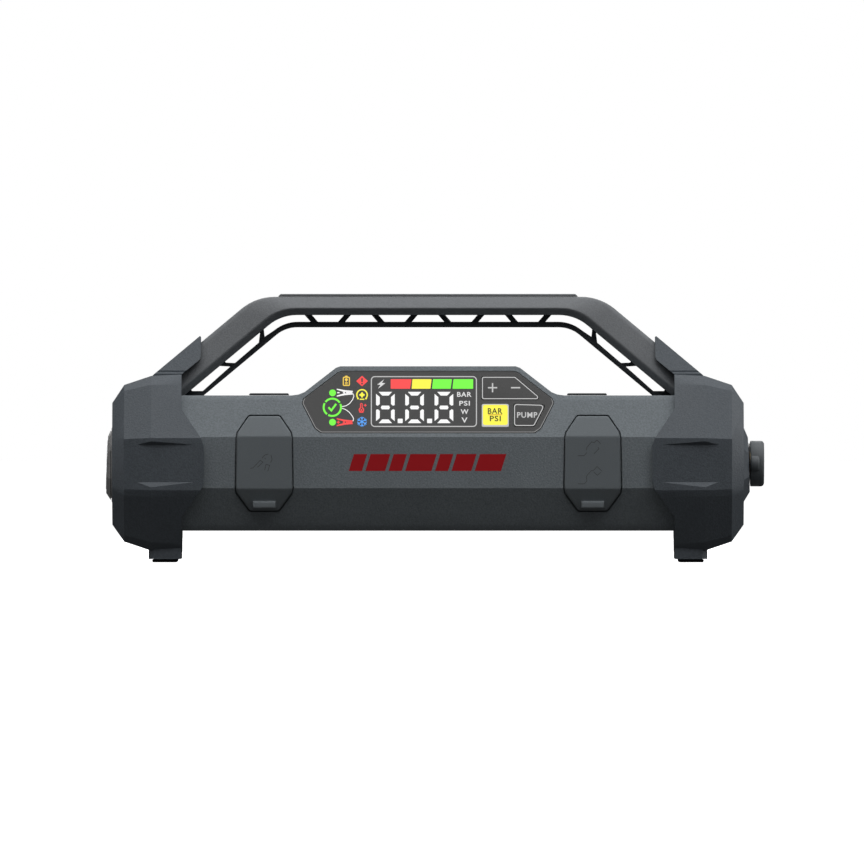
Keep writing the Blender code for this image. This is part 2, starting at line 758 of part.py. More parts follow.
def sockets():
    jump = COVER_X["jump"]
    power = COVER_X["power"]
    body = block("jump_socket", (jump - 12.0, jump + 12.0), (-37.9, -16.0), (43.5, 56.5))
    join(body, block("flange", (jump - 15.0, jump + 15.0), (-35.1, -33.0), (41.0, 59.0)))
    for x in (-6.2, 6.2):
        cut(body, turned("bore", [(3.6, -45.0), (3.6, -20.0)], (jump + x, 50.0), "Y", 24))
    cut(body, block("keyway", (jump - 1.2, jump + 1.2), (-45.0, -30.0), (48.0, 58.0)))
    finish(body, "plastic")
    for word, x in (("left", -6.2), ("right", 6.2)):
        name = "jump_contact_" + word
        post = turned(
            name, [(3.3, -33.5), (3.3, -20.3)], (jump + x, 50.0), "Y", 20
        )
        cut(post, turned("bore", [(2.4, -40.0), (2.4, -23.0)], (jump + x, 50.0), "Y", 20))
        finish(post, "brass", True)
    body = block("usb_socket", (power - 7.5, power + 7.5), (-37.9, -20.0), (39.5, 47.1))
    join(body, block("flange", (power - 10.0, power + 10.0), (-35.1, -33.8), (38.7, 48.4)))
    cut(body, block("mouth", (power - 6.4, power + 6.4), (-45.0, -24.0), (40.7, 45.9)))
    join(body, block("tongue", (power - 5.4, power + 5.4), (-36.0, -22.5), (43.8, 45.0)))
    finish(body, "metal")
    body = turned("charge_socket", [(5.3, -37.9), (5.3, -21.0)], (power, 57.0), "Y", 24)
    join(body, turned("flange", [(6.8, -33.7), (6.8, -32.1)], (power, 57.0), "Y", 24))
    cut(body, turned("bore", [(3.3, -45.0), (3.3, -25.0)], (power, 57.0), "Y", 24))
    join(body, turned("pin", [(1.0, -36.0), (1.0, -23.0)], (power, 57.0), "Y", 12))
    finish(body, "plastic")
    board = block("port_board", (power - 14.0, power + 14.0), (-19.7, -18.1), (30.0, 68.0))
    finish(board, "board")


# ---------------------------------------------------------------- display panel
def panel_pieces():
    outline = eased(both_halves(PANEL), PANEL_CORNER)
    panel = slant_prism("display_panel", outline, -RECESS_DEPTH + 0.1, 0.0)
    x0, x1, z0, z1 = WINDOW
    frame = [(x0, z1), (x1, z1), (x1, z0), (x0, z0)]
    cut(panel, slant_prism("frame", eased(frame, WINDOW_CORNER), -5.0, 5.0))
    for outline in (PLUS_MINUS, BAR_PSI, PUMP):
        wide = offset(eased(outline, KEY_CORNER), KEY_GAP)
        cut(panel, slant_prism("opening", wide, -5.0, 5.0))
    finish(panel, "panel")
    glass = slant_prism("display_window", offset(eased(frame, WINDOW_CORNER), -0.25), -1.4, 0.0)
    finish(glass, "glass")
    module = slant_prism("display_module", offset(frame, -1.6), -7.0, -1.7)
    finish(module, "plastic")
    board = slant_prism("display_board", both_halves(DISPLAY_BOARD), -8.8, -7.3)
    finish(board, "board")


def keys():
    middle = slanted(ROCKER_X, 86.8, -3.0)
    shape = eased(PLUS_MINUS, KEY_CORNER)
    rocker = soft_slant_prism("plus_minus_key", shape, -4.0, KEY_PROUD, 0.15, middle)
    stem = slant_prism("stem", [(39.0, 88.5), (42.0, 88.5), (42.0, 85.0), (39.0, 85.0)], -6.6, -3.5)
    finish(join(rocker, stem), "key")
    for name, outline in (("bar_psi_key", BAR_PSI), ("pump_key", PUMP)):
        x = sum(p[0] for p in outline) / 4.0
        z = sum(p[1] for p in outline) / 4.0
        shape = eased(outline, KEY_CORNER)
        key = soft_slant_prism(name, shape, -4.0, KEY_PROUD, 0.15, slanted(x, z, 0.0))
        stem = [(x - 1.5, z + 1.5), (x + 1.5, z + 1.5), (x + 1.5, z - 1.5), (x - 1.5, z - 1.5)]
        join(key, slant_prism("stem", stem, -6.3, -3.5))
        finish(key, "key")


# ---------------------------------------------------------------- lamp and outlet
def lamp():
    bezel = end_boss("lamp_bezel", -1.0, 157.5 + 0.15, END_HALF, END_FACE_HALF + 0.6)
    join(bezel, prism("sleeve", end_octagon(15.9), -159.0, -153.0, "X"))
    cut(bezel, prism("mouth", end_octagon(12.6), -170.0, -140.0, "X"))
    groove = prism("groove", end_octagon(END_HALF + 4.0), -158.6, -158.1, "X")
    cut(groove, prism("core", end_octagon(END_HALF - 2.4), -160.0, -156.0, "X"))
    cut(bezel, groove)
    finish(bezel, "plastic")
    face = []
    for y, z in end_octagon(12.3):
        face.append((-(160.6 - (z - END_Z) * 0.035), y, z))
    back = [(-158.2, y, z) for y, z in end_octagon(12.3)]
    finish(rings("lamp_lens", [back, face]), "clear")
    cup = rings(
        "lamp_reflector",
        [
            [(-157.9, y, z) for y, z in end_octagon(12.3)],
            [(-150.6, y, z) for y, z in end_octagon(6.5)],
        ],
    )
    inside = rings(
        "inside",
        [
            [(-158.5, y, z) for y, z in end_octagon(11.9)],
            [(-150.0, y, z) for y, z in end_octagon(5.0)],
        ],
    )
    finish(cut(cup, inside), "metal")
    board = block("lamp_board", (-150.3, -148.9), (-14.0, 14.0), (END_Z - 14.0, END_Z + 14.0))
    join(board, block("led", (-151.0, -150.0), (-2.5, 2.5), (END_Z - 2.5, END_Z + 2.5)))
    finish(board, "white")


def outlet():
    middle = (0.0, OUTLET_Z)
    tube = turned("outlet_fitting", [(6.0, 148.0), (6.0, 164.6)], middle, "X", 28)
    join(tube, turned("flange", [(10.0, 149.3), (10.0, 151.7)], middle, "X", 28))
    cut(tube, turned("bore", [(2.6, 140.0), (2.6, 170.0)], middle, "X", 20))
    finish(tube, "brass", True)
    seal = turned("outlet_seal", [(10.2, 160.3), (10.2, 160.8)], middle, "X", 32)
    cut(seal, turned("bore", [(6.3, 150.0), (6.3, 170.0)], middle, "X", 28))
    finish(seal, "black", True)
    x0, x1 = KNOB_X
    profile = [(KNOB_R - 0.4, x0), (KNOB_R, x0 + 0.4), (KNOB_R, x1 - 1.5)]
    profile += [(KNOB_R - 0.45, x1 - 0.45), (KNOB_R - 1.5, x1)]
    pivot = (x0, 0.0, OUTLET_Z)
    cap = turned("outlet_cap", profile, middle, "X", 40, pivot)
    profile = [(3.6, x0 + 0.1), (4.2, x0 + 0.7), (4.2, 164.7), (3.9, 165.2), (3.3, 165.5)]
    for side in (-1.0, 1.0):
        join(cap, turned("lug", profile, (side * 9.2, OUTLET_Z), "X", 24))
    cut(cap, turned("bore", [(6.35, 150.0), (6.35, 165.2)], middle, "X", 28))
    finish(cap, "cap", True)


# ---------------------------------------------------------------- inside
def battery():
    xs = (-58.0, 48.0)
    tray = block("battery_tray", (-60.6, 50.6), (-15.6, 20.4), (28.2, 52.0))
    cut(tray, block("pocket", (-58.4, 48.4), (-13.4, 18.2), (30.2, 80.0)))
    finish(tray, "plastic")
    for index in range(3):
        y = -13.0 + index * 10.4
        outline = [(y, 30.5), (y + 10.0, 30.5), (y + 10.0, 67.5), (y, 67.5)]
        cell = soft_prism("battery_cell_" + str(index + 1), outline, xs[0], xs[1], "X", 1.2)
        finish(cell, "cell")


def boards():
    board = block("main_board", (-56.0, 46.0), (-20.6, -19.0), (28.0, 64.0))
    for x, z, half in ((-40.0, 50.0, 6.0), (-12.0, 46.0, 8.0), (20.0, 50.0, 5.0)):
        chip = block("chip", (x - half, x + half), (-23.0, -20.0), (z - half, z + half))
        join(board, chip)
    finish(board, "board")


def toothed(name, centre, teeth, bore, origin, phase):
    radius = teeth * GEAR_MODULE / 2.0
    outline = []
    for tooth in range(teeth):
        for part, reach in ((-0.30, -1.1), (-0.13, 0.7), (0.13, 0.7), (0.30, -1.1)):
            angle = 2.0 * math.pi * (tooth + part + phase) / teeth
            reached = radius + reach * GEAR_MODULE
            outline.append((centre[0] + reached * math.cos(angle), centre[1] + reached * math.sin(angle)))
    gear = prism(name, outline, GEAR_X[0], GEAR_X[1], "X", origin)
    if bore:
        cut(gear, turned("bore", [(bore, 100.0), (bore, 130.0)], centre, "X", 20))
    return gear


def air_pump():
    middle = MOTOR_YZ
    profile = [(12.5, 60.0), (13.5, 61.0), (13.5, 96.0), (12.5, 97.0)]
    motor = turned("pump_motor", profile, middle, "X", 28)
    join(motor, turned("neck", [(4.5, 95.0), (4.5, 99.0)], middle, "X", 16))
    join(motor, turned("shaft", [(1.5, 98.0), (1.5, 119.0)], middle, "X", 14))
    finish(motor, "metal", True)
    pivot = (GEAR_X[0], *MOTOR_YZ)
    finish(toothed("motor_pinion", MOTOR_YZ, PINION_TEETH, 1.8, pivot, 0.5), "brass")
    pivot = (GEAR_X[0], *CRANK_YZ)
    gear = toothed("crank_gear", CRANK_YZ, GEAR_TEETH, 0.0, pivot, 0.0)
    join(gear, turned("shaft", [(3.0, 117.0), (3.0, 127.0)], CRANK_YZ, "X", 18))
    finish(gear, "white")
    body = block("compressor_block", (120.0, 134.0), (-15.0, 13.0), (24.0, 62.0))
    cut(body, turned("bore", [(3.3, 110.0), (3.3, 128.0)], CRANK_YZ, "X", 18))
    cut(body, turned("port", [(2.4, 130.5), (2.4, 140.0)], (0.0, OUTLET_Z), "X", 18))
    finish(body, "metal")
    head = block("compressor_head", (119.0, 134.5), (-16.0, 14.0), (62.3, 68.0))
    for step in range(4):
        y = -13.0 + step * 7.2
        cut(head, block("groove", (110.0, 140.0), (y, y + 3.0), (65.0, 75.0)))
    finish(head, "metal")
    hose = turned("outlet_hose", [(3.8, 134.3), (3.8, 147.7)], (0.0, OUTLET_Z), "X", 20)
    cut(hose, turned("bore", [(2.4, 130.0), (2.4, 150.0)], (0.0, OUTLET_Z), "X", 18))
    finish(hose, "black", True)


def screws():
    for index, (x, z) in enumerate(SCREWS):
        name = "case_screw_" + str(index + 1)
        screw = turned(name, [(2.9, 11.6), (2.9, 9.3)], (x, z), "Y", 16)
        join(screw, turned("shank", [(1.35, -10.0), (1.35, 10.0)], (x, z), "Y", 12))
        cut(screw, block("slot", (x - 2.0, x + 2.0), (10.6, 13.0), (z - 0.4, z + 0.4)))
        cut(screw, block("slot", (x - 0.4, x + 0.4), (10.6, 13.0), (z - 2.0, z + 2.0)))
        finish(screw, "metal")


front_shell()
rear_shell()
end_cap("left_cap", -1.0)
end_cap("right_cap", 1.0)
handle()
handle_truss()
grip_pad()
foot_pads()
top_vents()
port_cover("jump_port_cover", "jump")
port_cover("power_port_cover", "power")
sockets()
panel_pieces()
keys()
lamp()
outlet()
battery()
boards()
air_pump()
screws()
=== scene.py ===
"""Looks of the jump starter pack: materials, softened edges, printed marks and a studio.

Metres, front at -Y. Marks are laid out in millimetres from the middle of the shell and the floor.
"""

import math

import bmesh
import bpy
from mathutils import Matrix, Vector


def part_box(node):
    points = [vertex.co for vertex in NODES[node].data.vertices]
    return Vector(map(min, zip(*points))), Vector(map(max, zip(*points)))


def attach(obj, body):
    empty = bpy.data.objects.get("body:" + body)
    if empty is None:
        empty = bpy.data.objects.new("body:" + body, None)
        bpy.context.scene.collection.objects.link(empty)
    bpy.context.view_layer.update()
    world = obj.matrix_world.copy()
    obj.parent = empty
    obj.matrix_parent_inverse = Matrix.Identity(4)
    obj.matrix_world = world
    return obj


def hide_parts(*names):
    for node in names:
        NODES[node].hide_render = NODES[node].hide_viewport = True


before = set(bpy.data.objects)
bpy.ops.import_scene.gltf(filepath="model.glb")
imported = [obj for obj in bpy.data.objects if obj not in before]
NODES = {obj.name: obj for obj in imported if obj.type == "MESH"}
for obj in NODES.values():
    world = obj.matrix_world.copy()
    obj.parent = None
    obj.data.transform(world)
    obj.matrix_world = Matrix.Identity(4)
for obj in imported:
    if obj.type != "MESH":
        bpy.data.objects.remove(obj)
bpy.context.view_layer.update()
MM = 0.001

SHELL_LOW, SHELL_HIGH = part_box("front_shell")
MID_X = (SHELL_LOW.x + SHELL_HIGH.x) / 2.0
FRONT_Y = SHELL_LOW.y
LEAN = math.radians(28.0)
SLANT_Z = 62.5 * MM  # where the upright face meets the leaning one
COVER_PROUD = 1.2 * MM

# softened edges
ROUNDED_FROM = math.radians(20.0)  # a bend sharper than this gets a radius
CRISP_FROM = math.radians(2.5)  # a fainter one between large faces stays as a line
LARGE_FACE = 12.0 * MM * MM
MERGE_DISTANCE = 0.005 * MM
FLAT_WITHIN = math.radians(1.5)
BEVEL_SAMPLES = 8
NORMAL_WEIGHT = 100

# printed marks, in millimetres
PRINT_LIFT = 0.05
OVERPRINT_LIFT = 0.08
TOP_PRINT_LIFT = 0.1
KEY_LIFT = 0.21
KEY_TOP_LIFT = KEY_LIFT + 0.04
STRIPE_LIFT = 0.04
GROOVE_SHADE_LIFT = 0.03
LETTER_BOLD = 0.02
LETTER_SPACING = 1.12
LETTER_STEPS = 3
MITRE_LIMIT = 0.3

# display, in millimetres
PANEL_MID_Z = 80.0
BORDER_SCALE_X = 0.9945
BORDER_SCALE_Z = 0.982
BORDER_TOP_FROM = 80.5
BORDER_LOW_TO = 83.0
FIGURE_WIDTH = 9.3
FIGURE_LOW = 69.4
FIGURE_HIGH = 85.0
FIGURE_BAR = 1.85
FIGURES_X = (-25.9, -11.35, 3.3)
POINTS_X = (-15.1, -0.45)
POINT_WIDTH = 2.5
POINT_HEIGHT = 2.2
CHARGE_LOW = 86.55
CHARGE_HIGH = 91.35
ICON_X = -32.9
MODE_Z = 83.5
HEAT_X = -33.2
HEAT_Z = 76.0
COLD_Z = 70.1
RING_X = -47.7
RING_Z = 77.3
LINE_WIDTH = 0.45
KEY_MARK_WIDTH = 0.68

# stripe mark, in millimetres
STRIPE_WIDTHS = (6.0, 9.0, 6.0, 12.0, 6.0, 9.0, 12.0)
STRIPE_GAP = 1.6
STRIPE_SLANT = 2.4
STRIPE_LOW = 45.6
STRIPE_HIGH = 54.0
STRIPE_START = -39.5
STRIPE_SPAN = 78.5

# studio
CAMERA_FAR = 12.0
CAMERA_CLIP = 120.0
CAMERA_X = MID_X + 2.0 * MM
CAMERA_Z = 65.0 * MM
CAMERA_SPAN = 0.432
SENSOR = 36.0
WORLD_GLOW = 0.075
FLOOR_RADIUS = 40.0
FLOOR_DROP = 0.0002
AIM = (0.0, 0.0, 0.05)
LAMPS = (
    # name, place, aim, size, watts
    ("overhead", (0.0, -0.1, 1.4), (0.0, 0.0, 0.0), 2.6, 33.5),
    ("front", (0.3, -1.3, 1.6), AIM, 1.2, 4.6),
    ("front_right", (1.6, -1.8, 1.1), AIM, 1.4, 1.6),
    ("right", (2.5, 0.55, 0.95), AIM, 0.8, 19.0),
    ("left", (-2.5, -0.2, 0.95), AIM, 1.2, 5.4),
    ("back", (-0.3, 2.5, 1.1), AIM, 1.5, 16.0),
)

scene = bpy.context.scene
scene.view_settings.view_transform = "Standard"
scene.view_settings.look = "None"


# ------------------------------------------------------------ places
def on_slant(x, z, lift):
    """A point over the leaning face: x and z in millimetres from the middle and the floor."""
    y = FRONT_Y + (z * MM - SLANT_Z) * math.tan(LEAN)
    up = lift * MM
    return Vector((MID_X + x * MM, y - up * math.cos(LEAN), z * MM + up * math.sin(LEAN)))


def on_front(x, z, lift):
    return Vector((MID_X + x * MM, FRONT_Y - lift * MM, z * MM))


def on_cover(x, z, lift):
    return Vector((MID_X + x * MM, FRONT_Y - COVER_PROUD - lift * MM, z * MM))


# ------------------------------------------------------------ materials
def new_material(name):
    made = bpy.data.materials.new(name)
    made.use_nodes = True
    tree = made.node_tree
    return made, tree, tree.nodes["Principled BSDF"]


def noise(tree, scale, detail, rough=0.5):
    """Noise in the space of the piece, so that it moves with it."""
    place = tree.nodes.new("ShaderNodeTexCoord")
    node = tree.nodes.new("ShaderNodeTexNoise")
    node.inputs["Scale"].default_value = scale
    node.inputs["Detail"].default_value = detail
    node.inputs["Roughness"].default_value = rough
    tree.links.new(place.outputs["Object"], node.inputs["Vector"])
    return node.outputs["Fac"]


def remap(tree, value, low, high, start=0.3, end=0.7):
    node = tree.nodes.new("ShaderNodeMapRange")
    node.inputs["From Min"].default_value = start
    node.inputs["From Max"].default_value = end
    node.inputs["To Min"].default_value = low
    node.inputs["To Max"].default_value = high
    tree.links.new(value, node.inputs["Value"])
    return node.outputs["Result"]


def scaled(colour, factor):
    return tuple(c * factor for c in colour)


def tinted(tree, value, dark, light):
    node = tree.nodes.new("ShaderNodeMix")
    node.data_type = "RGBA"
    tree.links.new(value, node.inputs[0])
    node.inputs[6].default_value = (*dark, 1.0)
    node.inputs[7].default_value = (*light, 1.0)
    return node.outputs[2]


def painted(tree, shader, colour, rough):
    tree.links.new(colour, shader.inputs["Base Color"])
    tree.links.new(rough, shader.inputs["Roughness"])


def math_node(tree, operation, a, b):
    node = tree.nodes.new("ShaderNodeMath")
    node.operation = operation
    for socket, value in zip(node.inputs, (a, b)):
        if isinstance(value, (int, float)):
            socket.default_value = value
        else:
            tree.links.new(value, socket)
    return node.outputs[0]


def bumped(tree, shader, value, height, distance=0.0004):
    node = tree.nodes.new("ShaderNodeBump")
    node.inputs["Strength"].default_value = height
    node.inputs["Distance"].default_value = distance
    tree.links.new(value, node.inputs["Height"])
    tree.links.new(node.outputs["Normal"], shader.inputs["Normal"])
    return node


def moulded(name, colour, rough, grain, speckle, height, level, soft=0.0):
    """Moulded plastic or rubber: spark-eroded grain, a little uneven in colour and gloss.

    soft is the radius in millimetres that its bends are shaded with.
    """
    made, tree, shader = new_material(name)
    fine = noise(tree, grain, 3.0, 0.6)
    broad = noise(tree, 35.0, 4.0)
    speck = noise(tree, grain * 2.1, 2.0)
    mixed = math_node(tree, "MULTIPLY", remap(tree, fine, 0.0, 1.0, 0.35, 0.65), 0.75)
    mixed = math_node(tree, "ADD", mixed, remap(tree, broad, 0.0, 0.25))
    tint = tinted(tree, mixed, scaled(colour, 1.0 - speckle), scaled(colour, 1.0 + speckle))
    gloss = math_node(tree, "ADD", remap(tree, broad, -0.04, 0.05), remap(tree, speck, -0.05, 0.05))
    painted(tree, shader, tint, math_node(tree, "ADD", gloss, rough))
    pits = math_node(tree, "ADD", fine, math_node(tree, "MULTIPLY", speck, 0.6))
    bump = bumped(tree, shader, pits, height)
    if soft:
        bend = tree.nodes.new("ShaderNodeBevel")
        bend.samples = BEVEL_SAMPLES
        bend.inputs["Radius"].default_value = soft * MM
        tree.links.new(bend.outputs["Normal"], bump.inputs["Normal"])
    shader.inputs["Specular IOR Level"].default_value = level
    return made


def smooth_plastic(name, colour, rough, level=0.5):
    """Satin plastic or film with faint waviness, dust and fine scuffs."""
    made, tree, shader = new_material(name)
    broad = noise(tree, 60.0, 5.0)
    dust = noise(tree, 1500.0, 2.0)
    tint = tinted(tree, remap(tree, broad, 0.0, 1.0), scaled(colour, 0.94), scaled(colour, 1.06))
    gloss = math_node(tree, "ADD", remap(tree, broad, -0.05, 0.06), remap(tree, dust, -0.03, 0.05))
    painted(tree, shader, tint, math_node(tree, "ADD", gloss, rough))
    bumped(tree, shader, dust, 0.12, 0.00015)
    shader.inputs["Specular IOR Level"].default_value = level
    return made


def metal(name, colour, rough, brushed=True):
    """Bare metal: drawn along X when brushed, else finely pitted."""
    made, tree, shader = new_material(name)
    place = tree.nodes.new("ShaderNodeTexCoord")
    stretch = tree.nodes.new("ShaderNodeMapping")
    stretch.inputs["Scale"].default_value = (40.0, 1600.0, 1600.0) if brushed else (500.0,) * 3
    node = tree.nodes.new("ShaderNodeTexNoise")
    node.inputs["Scale"].default_value = 1.0
    node.inputs["Detail"].default_value = 3.0
    tree.links.new(place.outputs["Object"], stretch.inputs["Vector"])
    tree.links.new(stretch.outputs["Vector"], node.inputs["Vector"])
    value = node.outputs["Fac"]
    tint = tinted(tree, remap(tree, value, 0.0, 1.0), scaled(colour, 0.88), colour)
    painted(tree, shader, tint, remap(tree, value, rough * 0.8, rough * 1.3))
    bumped(tree, shader, value, 0.15, 0.0001)
    shader.inputs["Metallic"].default_value = 1.0
    return made


def printed(name, colour, glow=0.0):
    """Printed ink or a lit display segment, with a slightly uneven screen of dots."""
    made, tree, shader = new_material(name)
    dots = noise(tree, 2200.0, 2.0)
    dark = scaled(colour, 0.94)
    faint = 0.15 if glow else 1.0
    tint = tinted(tree, dots, scaled(dark, faint), scaled(colour, faint))
    painted(tree, shader, tint, remap(tree, dots, 0.42, 0.52))
    shader.inputs["Specular IOR Level"].default_value = 0.2
    if glow:
        lit = tinted(tree, remap(tree, dots, 0.0, 1.0), dark, colour)
        tree.links.new(lit, shader.inputs["Emission Color"])
        shader.inputs["Emission Strength"].default_value = glow
    return made


def circuit(name):
    """Green solder mask with copper tracks under it."""
    made, tree, shader = new_material(name)
    place = tree.nodes.new("ShaderNodeTexCoord")
    cells = tree.nodes.new("ShaderNodeTexVoronoi")
    cells.distance = "CHEBYCHEV"
    cells.inputs["Scale"].default_value = 260.0
    tree.links.new(place.outputs["Object"], cells.inputs["Vector"])
    tracks = remap(tree, cells.outputs["Distance"], 0.0, 1.0, 0.30, 0.34)
    tint = tinted(tree, tracks, (0.01, 0.09, 0.04), (0.02, 0.16, 0.07))
    painted(tree, shader, tint, remap(tree, cells.outputs["Distance"], 0.28, 0.42))
    bumped(tree, shader, tracks, 0.2, 0.00005)
    return made


def clear_plastic(name):
    """Moulded clear lens with a faint frost."""
    made, tree, shader = new_material(name)
    frost = noise(tree, 900.0, 3.0)
    shader.inputs["Base Color"].default_value = (0.82, 0.84, 0.86, 1.0)
    tree.links.new(remap(tree, frost, 0.06, 0.16), shader.inputs["Roughness"])
    shader.inputs["Transmission Weight"].default_value = 0.75
    shader.inputs["IOR"].default_value = 1.49
    bumped(tree, shader, frost, 0.1, 0.0001)
    return made


# moulded: colour, roughness, grain scale, speckle, grain height, specular level, soft bends
# the others: colour, then roughness or glow
SHELL = moulded("shell_grain", (0.207, 0.232, 0.25), 0.62, 1100.0, 0.17, 0.42, 0.15)
SHELL_EDGE = moulded("shell_edge", (0.218, 0.244, 0.262), 0.5, 1400.0, 0.08, 0.15, 0.2)
CAP = moulded("cap_grain", (0.091, 0.106, 0.122), 0.55, 1100.0, 0.14, 0.4, 0.4)
CAP_EDGE = moulded("cap_edge", (0.112, 0.128, 0.145), 0.5, 1400.0, 0.08, 0.15, 0.4)
HANDLE = moulded("handle_grain", (0.172, 0.181, 0.191), 0.62, 1200.0, 0.12, 0.35, 0.25)
HANDLE_EDGE = moulded("handle_edge", (0.177, 0.186, 0.196), 0.55, 1400.0, 0.08, 0.15, 0.25)
# the truss is the handle's plastic, coloured near black as painted shade of its recess
TRUSS_SHADE = moulded("truss_shaded_grain", (0.035, 0.04, 0.046), 0.6, 1200.0, 0.12, 0.3, 0.3)
GRIP = moulded("grip_rubber", (0.2, 0.21, 0.22), 0.8, 1500.0, 0.14, 0.5, 0.15)
FOOT = moulded("foot_rubber", (0.01, 0.01, 0.011), 0.85, 1500.0, 0.2, 0.5, 0.2)
COVER = moulded("cover_rubber", (0.172, 0.193, 0.207), 0.6, 1800.0, 0.05, 0.1, 0.2, 1.5)
# the covers' rim bevels take a darker copy of the cover rubber: painted shade on the bevels
COVER_SHADED_EDGE = moulded("cover_edge_shade", (0.15, 0.168, 0.18), 0.6, 1800.0, 0.05, 0.1, 0.2, 0.8)
# the moulded icons on the covers are dark strokes: painted shade inside their grooves
GROOVE_SHADE = moulded("cover_groove_shade", (0.1, 0.108, 0.114), 0.8, 1800.0, 0.1, 0.2, 0.1)
VENT = moulded("vent_grain", (0.05, 0.055, 0.06), 0.65, 1200.0, 0.12, 0.35, 0.3)
PANEL = smooth_plastic("panel_film", (0.082, 0.082, 0.082), 0.45, 0.2)
GLASS = smooth_plastic("display_film", (0.08, 0.08, 0.08), 0.42, 0.2)
KEY = smooth_plastic("key_film", (0.08, 0.08, 0.08), 0.45, 0.2)
KNOB = moulded("knob_grain", (0.112, 0.124, 0.133), 0.5, 1300.0, 0.08, 0.2, 0.4)
SEAL = smooth_plastic("seal_rubber", (0.01, 0.01, 0.011), 0.6)
BEZEL = smooth_plastic("lamp_bezel", (0.27, 0.27, 0.27), 0.26, 0.6)
SOCKET = smooth_plastic("socket_plastic", (0.02, 0.02, 0.022), 0.45)
INNER = smooth_plastic("inner_plastic", (0.03, 0.03, 0.033), 0.5)
STEEL = metal("drawn_steel", (0.6, 0.6, 0.61), 0.3)
SCREW = metal("screw_steel", (0.16, 0.16, 0.165), 0.35, False)
BRASS = metal("plain_brass", (0.72, 0.53, 0.25), 0.3)
ALLOY = metal("die_cast_alloy", (0.5, 0.51, 0.53), 0.5, False)
FOIL = metal("cell_foil", (0.6, 0.62, 0.65), 0.38, False)
CHROME = metal("reflector_chrome", (0.85, 0.85, 0.86), 0.08, False)
BOARD = circuit("circuit_board")
NYLON = smooth_plastic("gear_nylon", (0.7, 0.7, 0.66), 0.45)
LAMP_BOARD = smooth_plastic("lamp_board", (0.75, 0.75, 0.72), 0.4)
WHITE = printed("ink_white", (0.95, 0.95, 0.95), 0.95)
WHITE_SOFT = printed("ink_soft_white", (0.75, 0.75, 0.75), 0.9)
PALE = printed("ink_pale", (0.6, 0.6, 0.6), 0.85)
EDGE_LINE = printed("ink_border", (0.42, 0.42, 0.42), 0.6)
FAINT_LINE = printed("ink_faint", (0.2, 0.2, 0.2), 0.3)
RED = printed("ink_red", (1.0, 0.08, 0.08), 0.95)
YELLOW = printed("ink_yellow", (1.0, 0.93, 0.08), 0.95)
ORANGE = printed("ink_orange", (1.0, 0.68, 0.1), 0.9)
GREEN = printed("ink_green", (0.2, 1.0, 0.07), 0.95)
BLUE = printed("ink_blue", (0.11, 0.4, 1.0), 0.95)
DARK = printed("ink_dark", (0.09, 0.085, 0.03))
RULE = printed("ink_rule", (0.9, 0.3, 0.05))
BADGE = printed("badge_red", (0.5, 0.014, 0.02))
LENS = clear_plastic("lamp_lens")


def dress(node, material):
    """Gives a CAD node its finished material."""
    mesh = NODES[node].data
    mesh.materials.clear()
    mesh.materials.append(material)


# ------------------------------------------------------------ softened copies
def weigh_edges(work, crisp):
    """Marks the edges to round. A crisp piece keeps the faint bends between its large faces as lines."""
    weight = work.edges.layers.float.new("bevel_weight_edge")
    for edge in work.edges:
        if len(edge.link_faces) != 2:
            continue
        angle = edge.calc_face_angle(0.0)
        if angle > ROUNDED_FROM:
            edge[weight] = 1.0
        elif crisp and angle > CRISP_FROM:
            if min(face.calc_area() for face in edge.link_faces) > LARGE_FACE:
                edge.smooth = False


def softened(node, body, width, material, edge, steps=2, crisp=False, weighted=False):
    """A copy of a CAD node with small radii on its edges, in place of the sharp one.

    width is the radius in millimetres. Weighted pieces keep their large faces evenly shaded.
    """
    source = NODES[node]
    mesh = bpy.data.meshes.new(node + "_soft")
    work = bmesh.new()
    work.from_mesh(source.data)
    bmesh.ops.remove_doubles(work, verts=work.verts, dist=MERGE_DISTANCE)
    bmesh.ops.dissolve_limit(work, angle_limit=FLAT_WITHIN, verts=work.verts, edges=work.edges)
    for face in work.faces:
        face.material_index = 0
        face.smooth = True
    weigh_edges(work, crisp)
    work.to_mesh(mesh)
    work.free()
    mesh.materials.clear()
    mesh.materials.append(material)
    mesh.materials.append(edge)
    piece = bpy.data.objects.new(node + "_soft", mesh)
    piece.matrix_world = source.matrix_world.copy()
    scene.collection.objects.link(piece)
    round_off = piece.modifiers.new("round", "BEVEL")
    round_off.width = width * MM
    round_off.segments = steps
    round_off.limit_method = "WEIGHT"
    round_off.use_clamp_overlap = True
    round_off.material = 1
    round_off.harden_normals = not weighted
    if weighted:
        level = piece.modifiers.new("level", "WEIGHTED_NORMAL")
        level.weight = NORMAL_WEIGHT
        level.keep_sharp = True
    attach(piece, body)
    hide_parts(node)


# ------------------------------------------------------------ flat drawings
def placed(name, mesh, material, body):
    """A new piece of one material that rides on a body."""
    mesh.materials.clear()
    mesh.materials.append(material)
    piece = bpy.data.objects.new(name, mesh)
    scene.collection.objects.link(piece)
    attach(piece, body)
    return piece


def drawing(name, outlines, material, body, place, lift=PRINT_LIFT):
    """Thin printed shapes, each a closed outline in millimetres, that face the front."""
    points = []
    faces = []
    for outline in outlines:
        first = len(points)
        points += [place(x, z, lift) for x, z in outline]
        faces.append(list(range(first, first + len(outline))))
    mesh = bpy.data.meshes.new(name)
    mesh.from_pydata(points, [], faces)
    work = bmesh.new()
    work.from_mesh(mesh)
    for face in work.faces:
        if face.normal.y > 0:
            face.normal_flip()
    work.to_mesh(mesh)
    work.free()
    piece = placed(name, mesh, material, body)


def arc(x, z, radius, start, end, count):
    """Points from one angle to another, in degrees."""
    points = []
    for i in range(count + 1):
        angle = math.radians(start + (end - start) * i / count)
        points.append((x + radius * math.cos(angle), z + radius * math.sin(angle)))
    return points


def disc(x, z, radius, count=24):
    return arc(x, z, radius, 0.0, 360.0 - 360.0 / count, count - 1)


